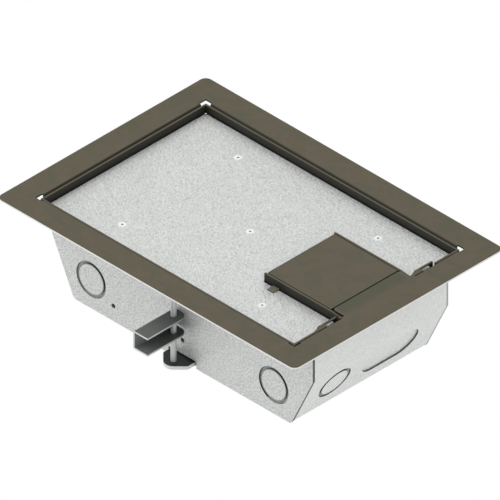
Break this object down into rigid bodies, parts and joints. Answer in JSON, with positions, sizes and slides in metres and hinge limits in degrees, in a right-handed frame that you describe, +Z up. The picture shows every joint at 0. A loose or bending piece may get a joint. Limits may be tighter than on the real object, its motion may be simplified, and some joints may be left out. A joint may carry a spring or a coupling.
{
  "type": "floor socket box",
  "caption": "Flush floor socket box: trim frame, hinged recessed lid with a cable door, sheet steel body with knockouts, receptacles inside and swinging clamp arms.",
  "frame": {"origin": "under the middle of the box, at the level of the side panels' lower edges, which stand on the floor slab", "axes": "+X along the box towards the lid hinges, +Y across it, +Z up through the lid"},
  "size_m": [0.363, 0.2672, 0.1041],
  "materials": {
    "trim_paint": "satin",
    "galvanised": "satin",
    "clamp_steel": "satin",
    "screw_steel": "satin",
    "rivet_aluminium": "satin",
    "receptacle_plastic": "matt",
    "body_plastic": "matt",
    "jack_plastic": "matt",
    "ground_green": "satin"
  },
  "bodies": {
    "box": {"trim_frame": "trim_paint", "tongue_lip": "trim_paint", "body_wrap": "galvanised", "front_side_panel": "galvanised", "rear_side_panel": "galvanised", "frame_screws": "screw_steel", "side_knockouts": "galvanised", "end_knockouts": "galvanised", "right_opening_cover": "galvanised", "left_opening_cover": "galvanised", "front_hinge_bracket": "galvanised", "rear_hinge_bracket": "galvanised", "front_clamp_foot": "clamp_steel", "rear_clamp_foot": "clamp_steel", "foot_rivets": "screw_steel", "front_device_rail": "galvanised", "rear_device_rail": "galvanised", "power_plate": "galvanised", "data_plate": "galvanised", "plate_screws": "screw_steel", "front_receptacle_body": "body_plastic", "rear_receptacle_body": "body_plastic", "front_receptacle_yoke": "galvanised", "rear_receptacle_yoke": "galvanised", "front_receptacle_face": "receptacle_plastic", "rear_receptacle_face": "receptacle_plastic", "receptacle_screws": "screw_steel", "data_jack_1": "jack_plastic", "data_jack_2": "jack_plastic", "data_jack_3": "jack_plastic", "data_jack_4": "jack_plastic", "divider": "galvanised", "divider_screws": "screw_steel", "ground_screw": "ground_green"},
    "lid": {"lid_tray": "trim_paint", "lid_plate": "galvanised", "lid_rivets": "rivet_aluminium", "front_hinge_leaf": "trim_paint", "rear_hinge_leaf": "trim_paint", "front_hinge_pin": "screw_steel", "rear_hinge_pin": "screw_steel", "door_hinge_pin": "screw_steel", "door_rest_strip": "galvanised"},
    "cable_door": {"cable_door": "trim_paint"},
    "front_clamp_screw": {"front_clamp_screw": "screw_steel", "front_clamp_screw_ring": "screw_steel"},
    "front_clamp_nut": {"front_clamp_nut": "screw_steel"},
    "front_clamp_arm": {"front_clamp_arm": "clamp_steel"},
    "rear_clamp_screw": {"rear_clamp_screw": "screw_steel", "rear_clamp_screw_ring": "screw_steel"},
    "rear_clamp_nut": {"rear_clamp_nut": "screw_steel"},
    "rear_clamp_arm": {"rear_clamp_arm": "clamp_steel"}
  },
  "joints": [
    {"name": "lid_hinge", "type": "hinge", "parent": "box", "child": "lid", "pos_m": [0.1524, 0, 0.1009], "axis": [0, 1, 0], "range_deg": [0, 105]},
    {"name": "door_hinge", "type": "hinge", "parent": "lid", "child": "cable_door", "pos_m": [0.066, 0, 0.0986], "axis": [0, -1, 0], "range_deg": [0, 100]},
    {"name": "front_screw_turn", "type": "hinge", "parent": "box", "child": "front_clamp_screw", "pos_m": [0, -0.0932, 0.0331], "axis": [0, 0, -1], "range_deg": [-7800, 11300]},
    {"name": "front_clamp_lift", "type": "slide", "parent": "box", "child": "front_clamp_nut", "axis": [0, 0, 1], "range_m": [-0.0229, 0.0332]},
    {"name": "front_arm_swing", "type": "hinge", "parent": "front_clamp_nut", "child": "front_clamp_arm", "pos_m": [0, -0.0932, 0.0331], "axis": [0, 0, 1], "range_deg": [-12, 90]},
    {"name": "rear_screw_turn", "type": "hinge", "parent": "box", "child": "rear_clamp_screw", "pos_m": [0, 0.0932, 0.0331], "axis": [0, 0, -1], "range_deg": [-7800, 11300]},
    {"name": "rear_clamp_lift", "type": "slide", "parent": "box", "child": "rear_clamp_nut", "axis": [0, 0, 1], "range_m": [-0.0229, 0.0332]},
    {"name": "rear_arm_swing", "type": "hinge", "parent": "rear_clamp_nut", "child": "rear_clamp_arm", "pos_m": [0, 0.0932, 0.0331], "axis": [0, 0, 1], "range_deg": [-12, 90]}
  ],
  "couplings": [
    {"joint": "front_screw_turn", "follows": "front_clamp_lift", "rad_per_m": 5938.7},
    {"joint": "rear_screw_turn", "follows": "rear_clamp_lift", "rad_per_m": 5938.7}
  ]
}
